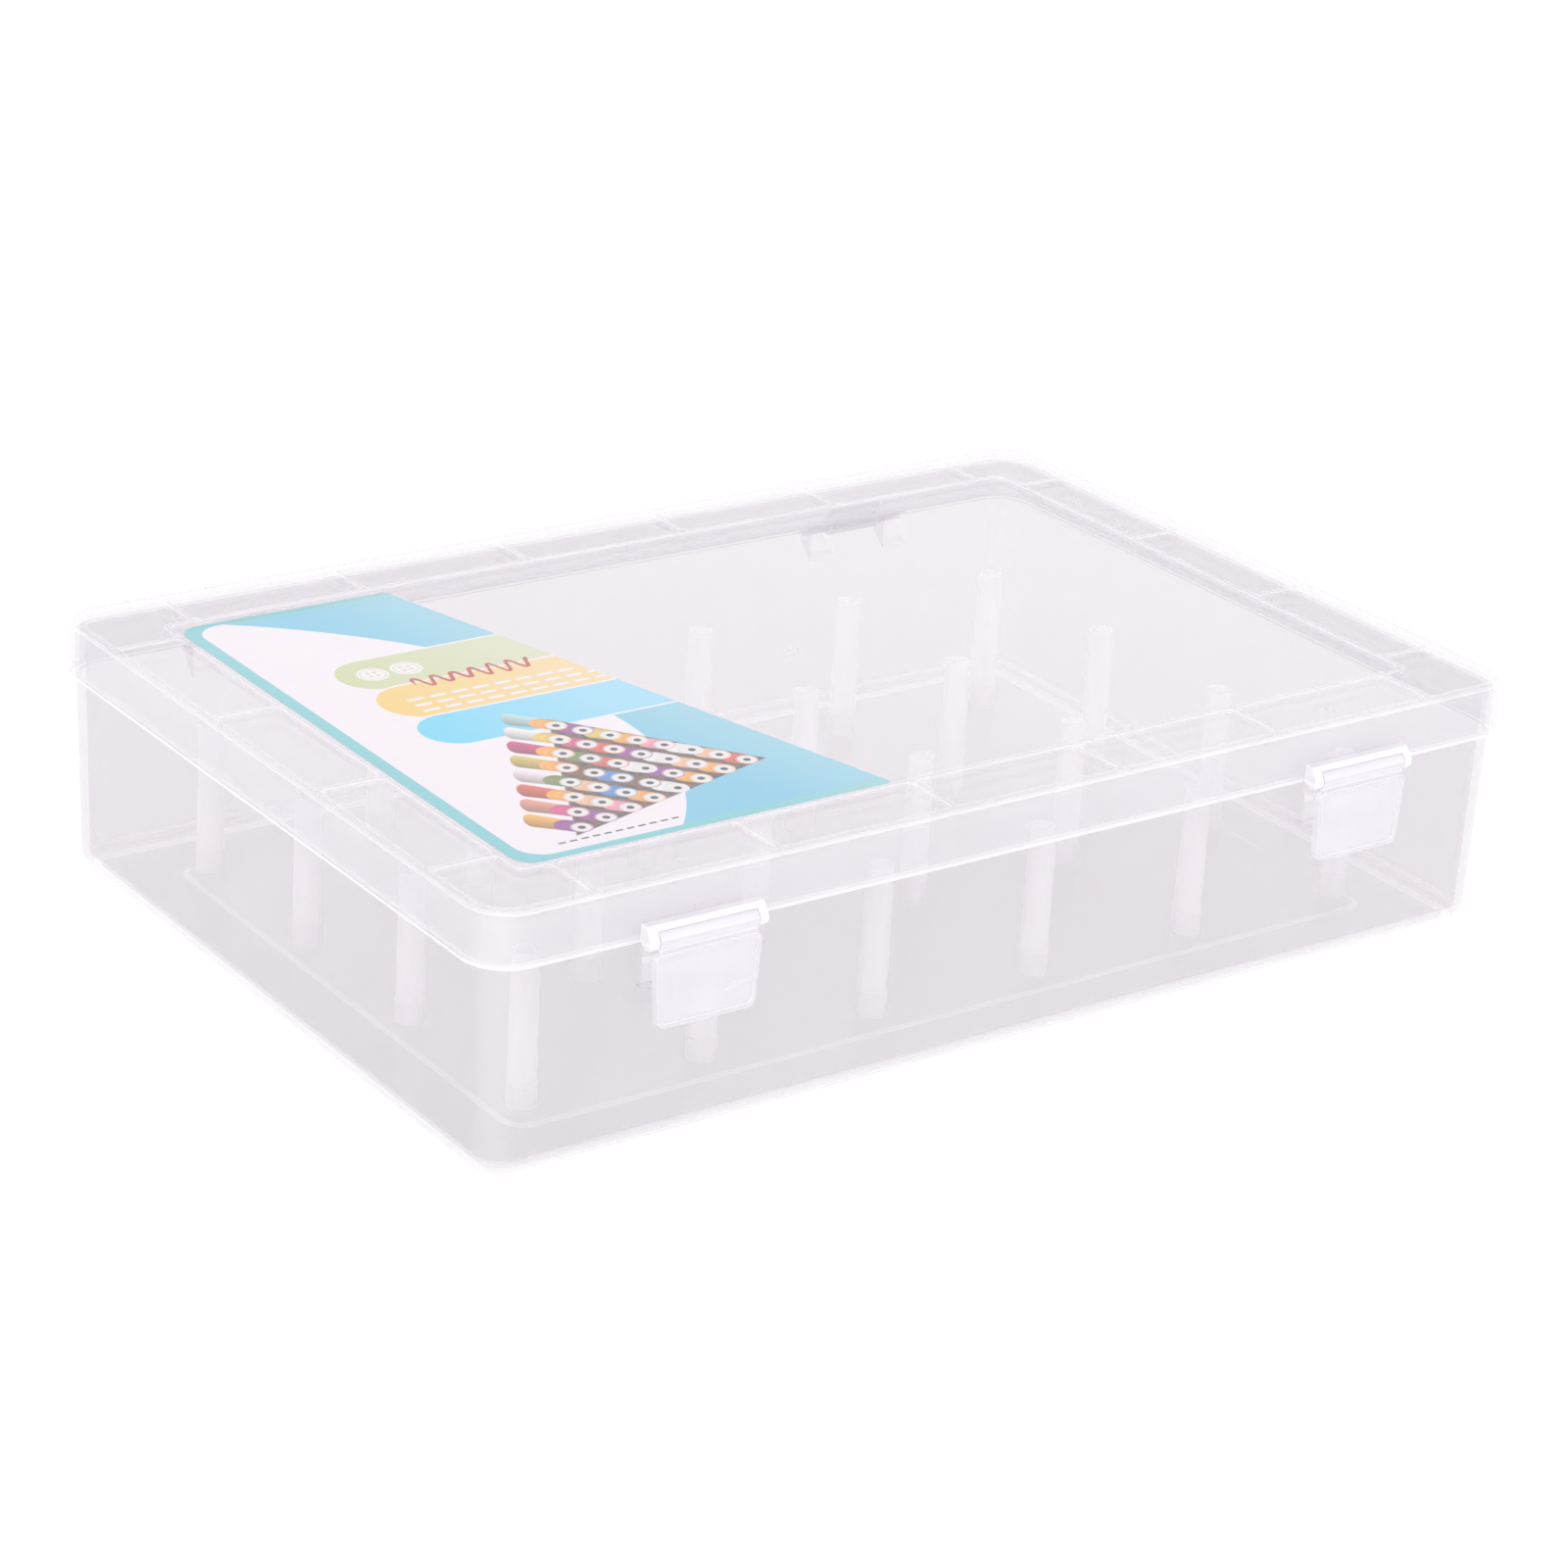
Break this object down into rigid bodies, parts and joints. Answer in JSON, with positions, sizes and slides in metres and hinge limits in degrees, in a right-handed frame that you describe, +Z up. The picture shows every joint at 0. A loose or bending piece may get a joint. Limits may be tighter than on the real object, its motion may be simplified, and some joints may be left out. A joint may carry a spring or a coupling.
{
  "type": "bobbin box",
  "caption": "Clear rectangular sewing box with upright spool pegs in rows, a hinged ribbed lid with a printed label, and snap latches.",
  "frame": {"origin": "centre of the bounding box at the bottom, on the surface the tray rests on", "axes": "+X along the length to the right, +Y from the latches to the hinges, +Z up"},
  "size_m": [0.26, 0.1858, 0.057],
  "materials": {
    "base_plastic": "clear milky polypropylene, smooth moulded",
    "lid_plastic": "clear milky polypropylene, smooth moulded",
    "latch_plastic": "clear milky polypropylene, smooth moulded",
    "peg_plastic": "whiter translucent polypropylene",
    "label_card": "printed film, satin"
  },
  "bodies": {
    "tray": {"base_tray": "base_plastic", "hinge_pin_left": "latch_plastic", "hinge_pin_right": "latch_plastic", "peg_r1_c1": "peg_plastic", "peg_r1_c2": "peg_plastic", "peg_r1_c3": "peg_plastic", "peg_r1_c4": "peg_plastic", "peg_r1_c5": "peg_plastic", "peg_r1_c6": "peg_plastic", "peg_r2_c1": "peg_plastic", "peg_r2_c2": "peg_plastic", "peg_r2_c3": "peg_plastic", "peg_r2_c4": "peg_plastic", "peg_r2_c5": "peg_plastic", "peg_r2_c6": "peg_plastic", "peg_r3_c1": "peg_plastic", "peg_r3_c2": "peg_plastic", "peg_r3_c3": "peg_plastic", "peg_r3_c4": "peg_plastic", "peg_r3_c5": "peg_plastic", "peg_r3_c6": "peg_plastic", "peg_r4_c1": "peg_plastic", "peg_r4_c2": "peg_plastic", "peg_r4_c3": "peg_plastic", "peg_r4_c4": "peg_plastic", "peg_r4_c5": "peg_plastic", "peg_r4_c6": "peg_plastic"},
    "lid": {"lid": "lid_plastic", "label": "label_card"},
    "left_latch": {"latch_left": "latch_plastic"},
    "right_latch": {"latch_right": "latch_plastic"}
  },
  "joints": [
    {"name": "lid_hinge", "type": "hinge", "parent": "tray", "child": "lid", "pos_m": [0, 0.0911, 0.043], "axis": [-1, 0, 0], "range_deg": [0, 180]},
    {"name": "left_latch_hinge", "type": "hinge", "parent": "lid", "child": "left_latch", "pos_m": [-0.083, -0.0911, 0.0459], "axis": [-1, 0, 0], "range_deg": [0, 120]},
    {"name": "right_latch_hinge", "type": "hinge", "parent": "lid", "child": "right_latch", "pos_m": [0.083, -0.0911, 0.0459], "axis": [-1, 0, 0], "range_deg": [0, 120]}
  ]
}
